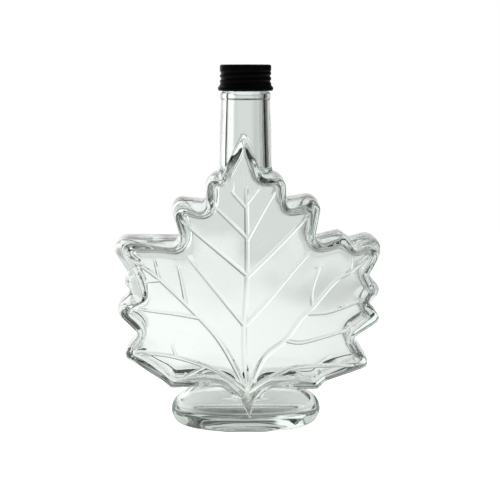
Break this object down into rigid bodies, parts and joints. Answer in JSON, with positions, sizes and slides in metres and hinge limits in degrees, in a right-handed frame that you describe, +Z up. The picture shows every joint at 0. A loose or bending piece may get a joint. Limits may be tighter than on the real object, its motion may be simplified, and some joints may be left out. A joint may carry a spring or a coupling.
{
  "type": "maple leaf bottle",
  "caption": "Flat clear glass bottle in the form of a veined maple leaf on an oval foot, with a round neck and a black metal screw cap.",
  "frame": {"origin": "middle of the foot's underside, on the surface the bottle stands on", "axes": "+Z up along the neck, +X across the leaf to the right as seen from the front, +Y to the back, so the veined front faces -Y"},
  "size_m": [0.1462, 0.05, 0.1994],
  "materials": {
    "glass": "clear fire-polished flint glass",
    "cap": "black satin lacquer on thin aluminium"
  },
  "bodies": {
    "root": {"glass_bottle": "glass", "cap": "cap"}
  },
  "joints": []
}
